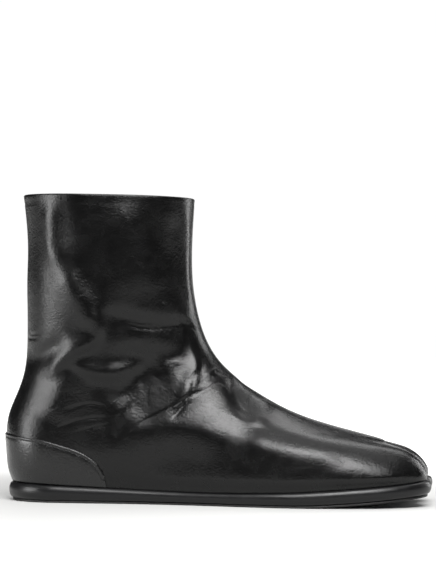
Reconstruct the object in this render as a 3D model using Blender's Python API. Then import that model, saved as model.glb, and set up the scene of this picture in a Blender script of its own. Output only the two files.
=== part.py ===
"""Jika tabi: a black leather ankle boot with a split toe, the right shoe, standing empty on its flat sole.

The origin is on the floor under the middle of the sole. +X runs to the toes, +Y to the big toe's side,
+Z up. Lateral is the little toe's side (-Y), medial the big toe's side (+Y).

The upper is worked out as rings. Ring 0 is the feather line, where the upper meets the sole, and the
last ring is the collar. A row of SECTIONS shapes one ring, and splines run between the rows.
"""

import math

import bmesh
import bpy
import numpy as np

# Driving sizes in metres
SOLE_LENGTH = 0.2897
BALL_WIDTH = 0.0980
COLLAR_HEIGHT = 0.2050
SOLE_THICKNESS = 0.0105
TOE_SPRING = 0.0076

# Materials' thicknesses and fits
WALL = 0.0020
SEAT_GAP = 0.0003
SOLE_RIM = 0.0033
OUTSOLE_THICKNESS = 0.0015
OUTSOLE_INSET = 0.0026
OUTSOLE_SOFTENING = 0.0004
INSOLE_THICKNESS = 0.0024
INSOLE_INSET = WALL + 0.0006
INSOLE_SIDE_SHARE = 0.75
INSOLE_ROUNDING = 0.0006
COUNTER_GAP = 0.0003
COUNTER_THICKNESS = 0.0010
COLLAR_ROUNDING = 0.0007

# The split between the big toe and the others
SPLIT_Y = 0.0050
SPLIT_GAP_FRONT = 0.0032
SPLIT_GAP_END = 0.0016
SPLIT_RIM = 0.0005
TOE_TIP_OFF_LATERAL = 0.0190
TOE_TIP_OFF_MEDIAL = 0.0150
LATERAL_TOE_LAG = 0.0024
INNER_TOE_ROUNDING = 0.0110
INNER_ROUNDING_SHARE = 0.45
SPLIT_RIM_END_SHARE = 0.6

# How square the rounds are in plan: 1 is a quarter of an ellipse, less is blunter
HEEL_BLUNTNESS = 0.92
TOE_BLUNTNESS = 0.92
VAMP_BLUNTNESS = 0.96
DRIFT_RATE = 1.6

# The middle line's drift to the split: where it starts and how long it takes, shares of SOLE_LENGTH
DRIFT_START = -0.05
DRIFT_LENGTH = 0.40

# Rings between which the toe's slot runs out on the vamp, and where rings stop following the feather line
SPLIT_FADE_START = 3.4
SPLIT_FADE_END = 5.0
FEATHER_FADE_END = 4.0

# One row for each ring, from the feather line up. Places along the shoe are shares of SOLE_LENGTH from
# its middle, heights are shares of COLLAR_HEIGHT, half widths are shares of BALL_WIDTH, and the three
# roundings are shares of the ring's own length. split is the depth of the toe's slot.
SECTION_COLUMNS = (
    "back_x", "back_z", "front_x", "front_z",
    "heel", "waist_lat", "waist_med", "ball_lat", "ball_med", "toe_lat", "toe_med",
    "heel_round", "toe_round_lat", "toe_round_med", "split",
)
SECTIONS = (
    (-0.4895, 0.0585, 0.4846, 0.0839, 0.301, 0.342, 0.291, 0.478, 0.447, 0.439, 0.454, 0.120, 0.150, 0.120, 0.0777),
    (-0.5012, 0.1073, 0.4853, 0.1063, 0.321, 0.347, 0.301, 0.488, 0.461, 0.447, 0.463, 0.125, 0.155, 0.125, 0.0794),
    (-0.5060, 0.1659, 0.4757, 0.1356, 0.332, 0.342, 0.306, 0.480, 0.461, 0.435, 0.455, 0.130, 0.165, 0.135, 0.0811),
    (-0.5085, 0.2244, 0.4543, 0.1668, 0.332, 0.337, 0.306, 0.447, 0.442, 0.406, 0.431, 0.140, 0.190, 0.160, 0.0846),
    (-0.5033, 0.2829, 0.4128, 0.1961, 0.327, 0.332, 0.306, 0.400, 0.400, 0.372, 0.390, 0.160, 0.240, 0.220, 0.0587),
    (-0.4877, 0.3415, 0.3473, 0.2234, 0.327, 0.327, 0.306, 0.354, 0.352, 0.342, 0.345, 0.190, 0.310, 0.300, 0.0000),
    (-0.4712, 0.4049, 0.2520, 0.2585, 0.332, 0.327, 0.311, 0.321, 0.316, 0.311, 0.310, 0.230, 0.380, 0.380, 0.0000),
    (-0.4629, 0.4732, 0.1519, 0.3083, 0.342, 0.332, 0.316, 0.311, 0.301, 0.301, 0.292, 0.270, 0.400, 0.400, 0.0000),
    (-0.4612, 0.5512, 0.0580, 0.3854, 0.357, 0.347, 0.337, 0.316, 0.306, 0.306, 0.296, 0.310, 0.400, 0.400, 0.0000),
    (-0.4619, 0.6390, -0.0138, 0.4756, 0.372, 0.367, 0.362, 0.337, 0.332, 0.327, 0.322, 0.350, 0.400, 0.400, 0.0000),
    (-0.4629, 0.7366, -0.0552, 0.5951, 0.383, 0.383, 0.383, 0.367, 0.367, 0.361, 0.361, 0.380, 0.400, 0.400, 0.0000),
    (-0.4625, 0.8585, -0.0749, 0.7707, 0.388, 0.393, 0.393, 0.388, 0.388, 0.385, 0.385, 0.400, 0.400, 0.400, 0.0000),
    (-0.4729, 1.0049, -0.0704, 0.9976, 0.393, 0.398, 0.398, 0.393, 0.393, 0.390, 0.390, 0.400, 0.400, 0.400, 0.0000),
)
# Where along a ring the four half widths of a section apply, as shares of the ring's length
WIDTH_PLACES = (0.14, 0.42, 0.70, 0.87)
# The half width keeps its value behind the first of these shares and in front of the second
WIDTH_HOLDS = (0.07, 0.93)

# The sole's thickness along the shoe: station as a share of SOLE_LENGTH, thickness of SOLE_THICKNESS
SOLE_PROFILE = (
    (-0.50, 1.17), (-0.44, 1.15), (-0.36, 1.08), (-0.26, 0.98), (-0.15, 0.88), (-0.04, 0.82),
    (0.08, 0.87), (0.20, 0.98), (0.32, 1.03), (0.43, 1.02), (0.50, 1.02),
)
SPRING_START = 0.165
SPRING_POWER = 1.5

# The rounded edge of the main sole: share of its height from the underside, inset from its widest line
SOLE_EDGE = (
    (0.00, 0.0024), (0.07, 0.0014), (0.20, 0.0006), (0.38, 0.0001), (0.55, 0.0000),
    (0.72, 0.0002), (0.86, 0.0007), (0.95, 0.0014), (1.00, 0.0023),
)

# The heel counter's top edge on each side: station and height, shares of SOLE_LENGTH and COLLAR_HEIGHT
COUNTER_EDGE = (
    (-0.5150, 0.2225), (-0.4991, 0.2205), (-0.4418, 0.2093), (-0.4087, 0.2034), (-0.3759, 0.1917),
    (-0.3438, 0.1780), (-0.3114, 0.1590), (-0.2951, 0.1434), (-0.2789, 0.1210), (-0.2651, 0.0883),
    (-0.2572, 0.0600),
)

# Mesh density: columns in each side's heel, side and toe stretch, and rings for each row of SECTIONS
HEEL_COLUMNS = 8
SIDE_COLUMNS = 9
TOE_OUTER_COLUMNS = 6
TOE_INNER_COLUMNS = 3
SPLIT_COLUMNS = 3
TOE_COLUMNS = TOE_OUTER_COLUMNS + TOE_INNER_COLUMNS + SPLIT_COLUMNS
RINGS_PER_SECTION = 2
SIDE_STEPS = np.linspace(0.0, 1.0, SIDE_COLUMNS + 1)[:-1]

# The counter's own columns lie closer together towards its front end, which is at this share of the side
COUNTER_REACH = 0.160
COUNTER_COLUMNS = 11
COUNTER_ROWS = 7
COUNTER_CROWDING = 1.7
COUNTER_STEP_PAST_END = 0.01
COUNTER_STEPS = COUNTER_REACH * (1.0 - np.linspace(1.0, 0.0, COUNTER_COLUMNS) ** COUNTER_CROWDING)
COUNTER_STEPS = np.append(COUNTER_STEPS, COUNTER_REACH + COUNTER_STEP_PAST_END)
COUNTER_SEARCH_END = 5.0
COUNTER_SEARCH_STEPS = 24
NORMAL_STEP = 0.02

# Colours as linear red, green and blue
BLACK = (0.012, 0.012, 0.013)
EDGE_BLACK = (0.014, 0.014, 0.015)
RUBBER_BLACK = (0.016, 0.016, 0.016)
LINING_BLACK = (0.020, 0.019, 0.018)

LATERAL = -1
MEDIAL = 1


def spline(knots, values):
    """A natural cubic spline through the values, which carries on straight past both ends."""
    x = np.asarray(knots, float)
    y = np.asarray(values, float)
    h = np.diff(x)
    count = len(x)
    matrix = np.eye(count)
    right = np.zeros(count)
    for i in range(1, count - 1):
        matrix[i, i - 1:i + 2] = h[i - 1], 2 * (h[i - 1] + h[i]), h[i]
        right[i] = 6 * ((y[i + 1] - y[i]) / h[i] - (y[i] - y[i - 1]) / h[i - 1])
    bend = np.linalg.solve(matrix, right)

    def at(place):
        place = np.asarray(place, float)
        inside = np.clip(place, x[0], x[-1])
        i = np.clip(np.searchsorted(x, inside, side="right") - 1, 0, count - 2)
        a = inside - x[i]
        b = x[i + 1] - inside
        step = h[i]
        value = (bend[i] * b**3 + bend[i + 1] * a**3) / (6 * step)
        value = value + (y[i] / step - bend[i] * step / 6) * b + (y[i + 1] / step - bend[i + 1] * step / 6) * a
        slope_first = (y[1] - y[0]) / h[0] - h[0] * bend[1] / 6
        slope_last = (y[-1] - y[-2]) / h[-1] + h[-1] * bend[-2] / 6
        return value + slope_first * np.minimum(place - x[0], 0) + slope_last * np.maximum(place - x[-1], 0)

    return at


def ease(value):
    """Runs smoothly from 0 to 1 as the value does."""
    value = np.clip(value, 0.0, 1.0)
    return value * value * (3 - 2 * value)


SECTION_SPLINES = {
    name: spline(range(len(SECTIONS)), [row[i] for row in SECTIONS]) for i, name in enumerate(SECTION_COLUMNS)
}
LAST_RING = len(SECTIONS) - 1
SOLE_THICKNESS_AT = spline([row[0] for row in SOLE_PROFILE], [row[1] for row in SOLE_PROFILE])
COUNTER_HEIGHT_AT = spline([row[0] for row in COUNTER_EDGE], [row[1] for row in COUNTER_EDGE])


def underside(x):
    """Height of the whole sole's underside: flat on the floor, then the toe spring."""
    start = SPRING_START * SOLE_LENGTH
    reach = np.maximum(x - start, 0.0) / (SOLE_LENGTH / 2 - start)
    return TOE_SPRING * reach**SPRING_POWER


def feather_height(x):
    """Height of the feather line, where the upper's lower rim stands."""
    return underside(x) + SOLE_THICKNESS * SOLE_THICKNESS_AT(x / SOLE_LENGTH) + SEAT_GAP


def section(ring):
    """The sizes of one ring in metres, between the rows of SECTIONS."""
    row = {name: float(curve(ring)) for name, curve in SECTION_SPLINES.items()}
    for name in ("back_x", "front_x", "split"):
        row[name] *= SOLE_LENGTH
    for name in ("back_z", "front_z"):
        row[name] *= COLLAR_HEIGHT
    for name in ("heel", "waist_lat", "waist_med", "ball_lat", "ball_med", "toe_lat", "toe_med"):
        row[name] *= BALL_WIDTH
    row["split"] = max(row["split"], 0.0)
    return row


def toe_split_share(ring):
    """1 where the toe is split, 0 from where the slot has run out on the vamp."""
    return 1.0 - float(ease((ring - SPLIT_FADE_START) / (SPLIT_FADE_END - SPLIT_FADE_START)))


def middle_line(x):
    """The line that the two sides are measured from: it drifts to the split's place at the toes."""
    return SPLIT_Y * ease((x / SOLE_LENGTH - DRIFT_START) / DRIFT_LENGTH)


def ring_side(ring, side, grow=0.0, side_steps=SIDE_STEPS):
    """Points of one side of a ring, from the heel's back to the end of the toe's slot.

    grow moves the whole outline outwards, as the sole's does, or inwards. side_steps has the places of
    the columns between the heel's round and the toe's, as shares of that stretch.
    """
    row = section(ring)
    suffix = "_lat" if side == LATERAL else "_med"
    split_share = toe_split_share(ring)
    lag = LATERAL_TOE_LAG * split_share if side == LATERAL else 0.0
    back_x = row["back_x"] - grow
    front_x = row["front_x"] - lag + grow
    length = front_x - back_x
    width_at = spline(
        WIDTH_PLACES, [row["heel"], row["waist" + suffix], row["ball" + suffix], row["toe" + suffix]]
    )

    def half_width(share):
        return width_at(np.clip(share, *WIDTH_HOLDS)) + grow

    # Heel stretch: a quarter turn from the back's middle round to the side
    angle = np.linspace(0.0, math.pi / 2, HEEL_COLUMNS + 1)[:-1]
    heel_share = row["heel_round"] * (1 - np.cos(angle))
    heel_x = back_x + length * heel_share
    heel_width = half_width(heel_share) * np.sin(angle) ** HEEL_BLUNTNESS
    # Side stretch
    toe_start = 1.0 - row["toe_round" + suffix]
    side_share = row["heel_round"] + (toe_start - row["heel_round"]) * np.asarray(side_steps)
    side_x = back_x + length * side_share
    side_width = half_width(side_share)
    # Toe stretch as one plain round, for the rings above the split
    angle = np.linspace(0.0, math.pi / 2, TOE_COLUMNS + 1)
    plain_share = toe_start + (1 - toe_start) * np.sin(angle)
    plain_x = back_x + length * plain_share
    plain_width = half_width(plain_share) * np.cos(angle) ** VAMP_BLUNTNESS
    # Toe stretch with the split: round the toe's tip, then back along the slot's wall to its end
    tip_off = TOE_TIP_OFF_LATERAL if side == LATERAL else TOE_TIP_OFF_MEDIAL
    angle = np.linspace(0.0, math.pi / 2, TOE_OUTER_COLUMNS + 1)
    outer_share = toe_start + (1 - toe_start) * np.sin(angle) ** TOE_BLUNTNESS
    outer_x = back_x + length * outer_share
    outer_width = tip_off + (half_width(outer_share) - tip_off) * np.cos(angle) ** TOE_BLUNTNESS
    slot_grow = min(grow, SPLIT_RIM)
    wall_y = SPLIT_GAP_FRONT / 2 - slot_grow
    end_y = SPLIT_GAP_END / 2 - slot_grow * SPLIT_RIM_END_SHARE
    slot_end_x = row["front_x"] - row["split"] + slot_grow
    rounding = min(INNER_TOE_ROUNDING, INNER_ROUNDING_SHARE * max(front_x - slot_end_x, 0.0))
    angle = np.linspace(0.0, math.pi / 2, TOE_INNER_COLUMNS + 1)[1:]
    inner_x = front_x - rounding * (1 - np.cos(angle))
    inner_width = wall_y + (tip_off - wall_y) * (1 - np.sin(angle))
    slot_share = np.linspace(0.0, 1.0, SPLIT_COLUMNS + 1)[1:]
    slot_x = inner_x[-1] + (slot_end_x - inner_x[-1]) * slot_share
    slot_width = wall_y + (end_y - wall_y) * slot_share
    slot_width[-1] = 0.0
    slot_x[-1] -= end_y
    split_x = np.concatenate([outer_x, inner_x, slot_x])
    split_width = np.concatenate([outer_width, inner_width, slot_width])
    toe_x = split_share * split_x + (1 - split_share) * plain_x
    toe_width = split_share * split_width + (1 - split_share) * plain_width

    x = np.concatenate([heel_x, side_x, toe_x])
    width = np.concatenate([heel_width, side_width, toe_width])
    share = (x - back_x) / length
    # Widths are measured from y = 0 along the sides and from the middle line round the toe
    toe_places = np.linspace(0.0, 1.0, TOE_COLUMNS + 1)
    drift = np.concatenate([np.zeros(HEEL_COLUMNS + len(side_steps)), ease(toe_places * DRIFT_RATE)])
    y = side * width + middle_line(x) * drift
    feather_fade = 1.0 - float(ease(ring / FEATHER_FADE_END))
    low = section(0.0)
    level = row["back_z"] + (row["front_z"] - row["back_z"]) * share
    low_level = low["back_z"] + (low["front_z"] - low["back_z"]) * share
    z = level + (feather_height(x) - low_level) * feather_fade
    return np.column_stack([x, y, z])


def ring_loop(ring, grow=0.0):
    """A whole ring: back middle, lateral side, the slot's end, medial side."""
    lateral = ring_side(ring, LATERAL, grow)
    medial = ring_side(ring, MEDIAL, grow)
    lateral[-1, 0] = medial[-1, 0] = min(lateral[-1, 0], medial[-1, 0])
    return np.vstack([lateral, medial[1:-1][::-1]])


def outward(grid):
    """Unit vectors out of the upper's outer surface, for a grid of rings by columns."""
    around = np.roll(grid, -1, axis=1) - np.roll(grid, 1, axis=1)
    up = np.gradient(grid, axis=0)
    normal = np.cross(around, up)
    length = np.linalg.norm(normal, axis=2, keepdims=True)
    return normal / np.maximum(length, 1e-12)


def surface_point(side, column, ring):
    """A point of the upper's outer surface in the counter's own columns, with its outward unit vector."""
    here = ring_side(ring, side, side_steps=COUNTER_STEPS)
    up = ring_side(ring + NORMAL_STEP, side, side_steps=COUNTER_STEPS)[column] - here[column]
    around = here[column + 1] - here[column - 1] if column else np.array([0.0, -1.0, 0.0])
    out = np.cross(around, up) if column == 0 or side == LATERAL else np.cross(up, around)
    return here[column], out / np.linalg.norm(out)


def upper_rings():
    """Ring numbers from the feather line to the collar."""
    return np.linspace(0.0, LAST_RING, LAST_RING * RINGS_PER_SECTION + 1)


def add_part(name, verts, faces, material):
    """Makes one closed solid and gives it its material."""
    mesh = bpy.data.meshes.new(name)
    mesh.from_pydata([tuple(map(float, v)) for v in verts], [], faces)
    mesh.update()
    part = bpy.data.objects.new(name, mesh)
    bpy.context.scene.collection.objects.link(part)
    part.data.materials.append(material)
    work = bmesh.new()
    work.from_mesh(mesh)
    bmesh.ops.recalc_face_normals(work, faces=work.faces[:])
    work.to_mesh(mesh)
    work.free()
    return part


def band(first, second, count):
    """Quads between two closed loops of count points that start at these numbers."""
    return [
        (first + i, first + (i + 1) % count, second + (i + 1) % count, second + i) for i in range(count)
    ]


def cap(first, count):
    """Faces that fill one outline: across the foot up to the split, then each toe for itself."""
    half = HEEL_COLUMNS + SIDE_COLUMNS + TOE_COLUMNS
    lateral = [first + i for i in range(half + 1)]
    medial = [first] + [first + count - i for i in range(1, half)] + [first + half]
    start = HEEL_COLUMNS + SIDE_COLUMNS
    faces = [(lateral[0], lateral[1], medial[1])]
    for i in range(1, start):
        faces.append((lateral[i], lateral[i + 1], medial[i + 1], medial[i]))
    end = lateral[half]
    faces.append((lateral[start], end, medial[start]))
    for edge in (lateral, medial):
        low, high = start, half
        while high - low > 2:
            faces.append((edge[low], edge[low + 1], edge[high - 1], edge[high]))
            low += 1
            high -= 1
        faces.append((edge[low], edge[low + 1], edge[high]))
    return faces


def add_sheet(name, near, far, material):
    """A solid between two grids of the same size, closed along its four edges."""
    columns, rows = near.shape[:2]
    verts = np.vstack([near.reshape(-1, 3), far.reshape(-1, 3)])
    other = columns * rows

    def number(column, row, layer):
        return layer * other + column * rows + row

    faces = []
    for i in range(columns - 1):
        for j in range(rows - 1):
            for layer in (0, 1):
                faces.append([number(i, j, layer), number(i + 1, j, layer),
                              number(i + 1, j + 1, layer), number(i, j + 1, layer)])
        for j in (0, rows - 1):
            faces.append([number(i, j, 0), number(i + 1, j, 0), number(i + 1, j, 1), number(i, j, 1)])
    for j in range(rows - 1):
        for i in (0, columns - 1):
            faces.append([number(i, j, 0), number(i, j + 1, 0), number(i, j + 1, 1), number(i, j, 1)])
    return add_part(name, verts, faces, material)


def leather(name, colour, roughness):
    """A plain dark material; nothing on this boot is metal."""
    material = bpy.data.materials.new(name)
    material.use_nodes = True
    shader = material.node_tree.nodes["Principled BSDF"]
    shader.inputs["Base Color"].default_value = (*colour, 1.0)
    shader.inputs["Roughness"].default_value = roughness
    shader.inputs["Metallic"].default_value = 0.0
    return material


def build_slab(name, levels, material):
    """A sole layer: closed outlines one above the other, filled below and above."""
    count = len(levels[0])
    verts = np.vstack(levels)
    faces = cap(0, count)
    for i in range(len(levels) - 1):
        faces += band(i * count, (i + 1) * count, count)
    faces += cap((len(levels) - 1) * count, count)
    return add_part(name, verts, faces, material)


def outline_at(grow, height):
    """The feather outline moved by grow, at a height worked out from each point's station."""
    loop = ring_loop(0.0, grow)
    loop[:, 2] = height(loop[:, 0])
    return loop


def build_outsole(material):
    """The thin bottom layer that touches the floor."""
    rim = SOLE_RIM - OUTSOLE_INSET
    levels = [
        outline_at(rim - OUTSOLE_SOFTENING, underside),
        outline_at(rim, lambda x: underside(x) + OUTSOLE_SOFTENING),
        outline_at(rim, lambda x: underside(x) + OUTSOLE_THICKNESS),
    ]
    return build_slab("outsole", levels, material)


def build_main_sole(material):
    """The leather sole with its rounded, polished edge, from heel to toe in one piece."""

    def level(share, inset):
        def height(x):
            low = underside(x) + OUTSOLE_THICKNESS + SEAT_GAP
            top = feather_height(x) - SEAT_GAP
            return low + (top - low) * share

        return outline_at(SOLE_RIM - inset, height)

    return build_slab("main_sole", [level(share, inset) for share, inset in SOLE_EDGE], material)


def build_insole(material):
    """The insole, inside the upper's wall and on the main sole."""
    levels = [
        outline_at(-INSOLE_INSET, feather_height),
        outline_at(-INSOLE_INSET, lambda x: feather_height(x) + INSOLE_THICKNESS * INSOLE_SIDE_SHARE),
        outline_at(-INSOLE_INSET - INSOLE_ROUNDING, lambda x: feather_height(x) + INSOLE_THICKNESS),
    ]
    return build_slab("insole", levels, material)


def build_upper(material):
    """The upper, one hollow wall from the feather line to the collar."""
    outer = np.array([ring_loop(ring) for ring in upper_rings()])
    inner = outer - WALL * outward(outer)
    inner[0, :, 2] = outer[0, :, 2]
    inner[-1, :, 2] = outer[-1, :, 2]
    rim = (outer[-1] + inner[-1]) / 2
    rim[:, 2] += COLLAR_ROUNDING
    rings = list(outer) + [rim] + list(inner[::-1])
    count = outer.shape[1]
    faces = []
    for i in range(len(rings)):
        faces += band(i * count, ((i + 1) % len(rings)) * count, count)
    return add_part("upper", np.vstack(rings), faces, material)


def counter_ring(side, column):
    """The ring number at which one column of the upper crosses the counter's top edge."""
    low, high = 0.0, COUNTER_SEARCH_END
    for _ in range(COUNTER_SEARCH_STEPS):
        middle = (low + high) / 2
        x, _, z = ring_side(middle, side, side_steps=COUNTER_STEPS)[column]
        edge = COUNTER_HEIGHT_AT(x / SOLE_LENGTH) * COLLAR_HEIGHT
        if z < edge:
            low = middle
        else:
            high = middle
    return low


def build_counter(material):
    """The heel counter, a second layer of leather that follows the upper from one side to the other."""
    count = HEEL_COLUMNS + len(COUNTER_STEPS) - 1
    places = [(MEDIAL, column) for column in range(count - 1, 0, -1)]
    places += [(LATERAL, column) for column in range(count)]
    grid = []
    for side, column in places:
        top = counter_ring(side, column)
        grid.append([surface_point(side, column, top * row / COUNTER_ROWS) for row in range(COUNTER_ROWS + 1)])
    base = np.array([[point for point, _ in column] for column in grid])
    normal = np.array([[out for _, out in column] for column in grid])
    near = base + normal * COUNTER_GAP
    far = base + normal * (COUNTER_GAP + COUNTER_THICKNESS)
    near[:, 0, 2] = base[:, 0, 2]
    far[:, 0, 2] = base[:, 0, 2]
    return add_sheet("heel_counter", near, far, material)


def main():
    for thing in list(bpy.data.objects):
        bpy.data.objects.remove(thing, do_unlink=True)
    black_leather = leather("black_leather", BLACK, roughness=0.32)
    counter_leather = leather("counter_leather", BLACK, roughness=0.28)
    edge_leather = leather("polished_sole_edge", EDGE_BLACK, roughness=0.22)
    rubber = leather("black_rubber", RUBBER_BLACK, roughness=0.60)
    lining = leather("insole_leather", LINING_BLACK, roughness=0.55)
    build_outsole(rubber)
    build_main_sole(edge_leather)
    build_insole(lining)
    build_upper(black_leather)
    build_counter(counter_leather)


main()
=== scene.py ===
"""Looks of a split-toe ankle boot in black leather: the right boot, empty, on its sole.

Lengths are in metres unless a name says otherwise. +X runs to the toes, +Y to the big toe's side, +Z up.
The upper's surface is worked out as rings, from the feather line (ring 0), where it meets the sole, to
the collar (the last ring). Folds and creases are laid along short paths on that surface.
"""

import math

import bmesh
import bpy
import numpy as np
from mathutils import Matrix, Vector


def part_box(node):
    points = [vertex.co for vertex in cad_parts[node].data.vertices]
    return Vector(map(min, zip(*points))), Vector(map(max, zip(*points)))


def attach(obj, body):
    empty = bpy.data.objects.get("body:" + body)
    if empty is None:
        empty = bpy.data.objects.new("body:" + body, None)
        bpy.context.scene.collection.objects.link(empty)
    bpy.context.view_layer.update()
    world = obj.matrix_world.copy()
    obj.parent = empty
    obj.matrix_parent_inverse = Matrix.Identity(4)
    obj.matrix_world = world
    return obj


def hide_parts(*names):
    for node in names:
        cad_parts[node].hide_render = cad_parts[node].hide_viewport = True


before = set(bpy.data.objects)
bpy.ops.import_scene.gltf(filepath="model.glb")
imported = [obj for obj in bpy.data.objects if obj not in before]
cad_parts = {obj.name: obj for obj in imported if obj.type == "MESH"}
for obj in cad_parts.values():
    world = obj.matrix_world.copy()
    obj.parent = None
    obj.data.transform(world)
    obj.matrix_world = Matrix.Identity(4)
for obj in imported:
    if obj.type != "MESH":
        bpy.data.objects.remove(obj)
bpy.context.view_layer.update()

bl_info = {
    "name": "Split-Toe Leather Boot",
    "version": (1, 0, 0),
    "blender": (4, 5, 0),
    "location": "View3D > Sidebar > Boot",
    "description": "Builds the finished look of a split-toe ankle boot around its packed solids",
    "category": "Add Mesh",
}

MM = 0.001

# Driving sizes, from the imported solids. The sole stands out past the feather line by its rim at both ends.
SOLE_RIM = 3.3 * MM
FEATHER_LENGTH_SHARE = 0.9741
SOLE_LOW, SOLE_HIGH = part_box("main_sole")
SOLE_LENGTH = (SOLE_HIGH.x - SOLE_LOW.x - 2 * SOLE_RIM) / FEATHER_LENGTH_SHARE
BALL_WIDTH = 98.0 * MM
COLLAR_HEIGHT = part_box("upper")[1].z - 1.7 * MM
SOLE_THICKNESS = 10.5 * MM
TOE_SPRING = 7.6 * MM
WALL = 2.0 * MM
SEAT_GAP = 0.3 * MM
OUTSOLE_THICKNESS = 1.5 * MM
OUTSOLE_INSET = 2.6 * MM
OUTSOLE_ROUNDING = 0.4 * MM
OUTSOLE_CORNER_SHARE = 0.3
INSOLE_THICKNESS = 2.4 * MM
INSOLE_INSET = WALL + 0.7 * MM

# The split between the big toe and the others
SPLIT_Y = 5.0 * MM
SPLIT_GAP_FRONT = 3.2 * MM
SPLIT_GAP_END = 1.6 * MM
SPLIT_RIM = 0.5 * MM
TOE_TIP_OFF_LATERAL = 19.0 * MM
TOE_TIP_OFF_MEDIAL = 15.0 * MM
LATERAL_TOE_LAG = 2.4 * MM
INNER_TOE_ROUNDING = 11.0 * MM
INNER_ROUNDING_SHARE = 0.45
SPLIT_RIM_END_SHARE = 0.6

# How square the rounds are in plan: 1 is a quarter of an ellipse, less is blunter
HEEL_BLUNTNESS = 0.92
TOE_BLUNTNESS = 0.92
VAMP_BLUNTNESS = 0.96
DRIFT_RATE = 1.6
DRIFT_START = -0.05
DRIFT_LENGTH = 0.40

# Rings between which the toe's slot runs out on the vamp, and where rings stop following the feather line
SPLIT_FADE_START = 3.4
SPLIT_FADE_END = 5.0
FEATHER_FADE_END = 4.0

# One row for each ring, from the feather line up. Places along the boot are shares of SOLE_LENGTH from
# its middle, heights are shares of COLLAR_HEIGHT, half widths are shares of BALL_WIDTH, and the three
# roundings are shares of the ring's own length. split is the depth of the toe's slot.
SECTION_COLUMNS = (
    "back_x", "back_z", "front_x", "front_z",
    "heel", "waist_lat", "waist_med", "ball_lat", "ball_med", "toe_lat", "toe_med",
    "heel_round", "toe_round_lat", "toe_round_med", "split",
)
SECTIONS = (
    (-0.4895, 0.0585, 0.4846, 0.0839,
     0.301, 0.342, 0.291, 0.478, 0.447, 0.439, 0.454, 0.12, 0.15, 0.12, 0.0777),
    (-0.5012, 0.1073, 0.4853, 0.1063,
     0.321, 0.347, 0.301, 0.488, 0.461, 0.447, 0.463, 0.125, 0.155, 0.125, 0.0794),
    (-0.506, 0.1659, 0.4757, 0.1356,
     0.332, 0.342, 0.306, 0.48, 0.461, 0.435, 0.455, 0.13, 0.165, 0.135, 0.0811),
    (-0.5085, 0.2244, 0.4543, 0.1668,
     0.332, 0.337, 0.306, 0.447, 0.442, 0.406, 0.431, 0.14, 0.19, 0.16, 0.0846),
    (-0.5033, 0.2829, 0.4128, 0.1961,
     0.327, 0.332, 0.306, 0.4, 0.4, 0.372, 0.39, 0.16, 0.24, 0.22, 0.0587),
    (-0.4877, 0.3415, 0.3473, 0.2234,
     0.327, 0.327, 0.306, 0.354, 0.352, 0.342, 0.345, 0.19, 0.31, 0.3, 0.0),
    (-0.4712, 0.4049, 0.252, 0.2585,
     0.332, 0.327, 0.311, 0.321, 0.316, 0.311, 0.31, 0.23, 0.38, 0.38, 0.0),
    (-0.4629, 0.4732, 0.1519, 0.3083,
     0.342, 0.332, 0.316, 0.311, 0.301, 0.301, 0.292, 0.27, 0.4, 0.4, 0.0),
    (-0.4612, 0.5512, 0.058, 0.3854,
     0.357, 0.347, 0.337, 0.316, 0.306, 0.306, 0.296, 0.31, 0.4, 0.4, 0.0),
    (-0.4619, 0.639, -0.0138, 0.4756,
     0.372, 0.367, 0.362, 0.337, 0.332, 0.327, 0.322, 0.35, 0.4, 0.4, 0.0),
    (-0.4629, 0.7366, -0.0552, 0.5951,
     0.383, 0.383, 0.383, 0.367, 0.367, 0.361, 0.361, 0.38, 0.4, 0.4, 0.0),
    (-0.4625, 0.8585, -0.0749, 0.7707,
     0.388, 0.393, 0.393, 0.388, 0.388, 0.385, 0.385, 0.4, 0.4, 0.4, 0.0),
    (-0.4729, 1.0049, -0.0704, 0.9976,
     0.393, 0.398, 0.398, 0.393, 0.393, 0.39, 0.39, 0.4, 0.4, 0.4, 0.0),
)
# Where along a ring the four half widths of a section apply, as shares of the ring's length
WIDTH_PLACES = (0.14, 0.42, 0.70, 0.87)
WIDTH_HOLDS = (0.07, 0.93)

# The sole's thickness along the boot: station as a share of SOLE_LENGTH, thickness of SOLE_THICKNESS
SOLE_PROFILE = (
    (-0.50, 1.17), (-0.44, 1.15), (-0.36, 1.08), (-0.26, 0.98), (-0.15, 0.88), (-0.04, 0.82),
    (0.08, 0.87), (0.20, 0.98), (0.32, 1.03), (0.43, 1.02), (0.50, 1.02),
)
SPRING_START = 0.165
SPRING_POWER = 1.5

# The rounded edge of the main sole: share of its height from the underside, inset from its widest line
SOLE_EDGE = (
    (0.00, 2.4 * MM), (0.07, 1.4 * MM), (0.20, 0.6 * MM), (0.38, 0.1 * MM), (0.55, 0.0 * MM),
    (0.72, 0.2 * MM), (0.86, 0.7 * MM), (0.95, 1.4 * MM), (1.00, 2.3 * MM),
)
SOLE_EDGE_LEVELS = 22

# The heel counter's top edge on each side: station and height, shares of SOLE_LENGTH and COLLAR_HEIGHT
COUNTER_EDGE = (
    (-0.5150, 0.2225), (-0.4991, 0.2205), (-0.4418, 0.2093), (-0.4087, 0.2034), (-0.3759, 0.1917),
    (-0.3438, 0.1780), (-0.3114, 0.1590), (-0.2951, 0.1434), (-0.2789, 0.1210), (-0.2651, 0.0883),
    (-0.2572, 0.0600),
)
COUNTER_REACH = 0.160
COUNTER_CROWDING = 1.7
COUNTER_COLUMNS = 60
COUNTER_ROWS = 44
COUNTER_ROW_CROWDING = 2.4
COUNTER_SPARE_STEP = 0.01
COUNTER_SEARCH_END = 5.0
COUNTER_SEARCH_RINGS = 251
COUNTER_LIFT = 0.15 * MM
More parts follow.
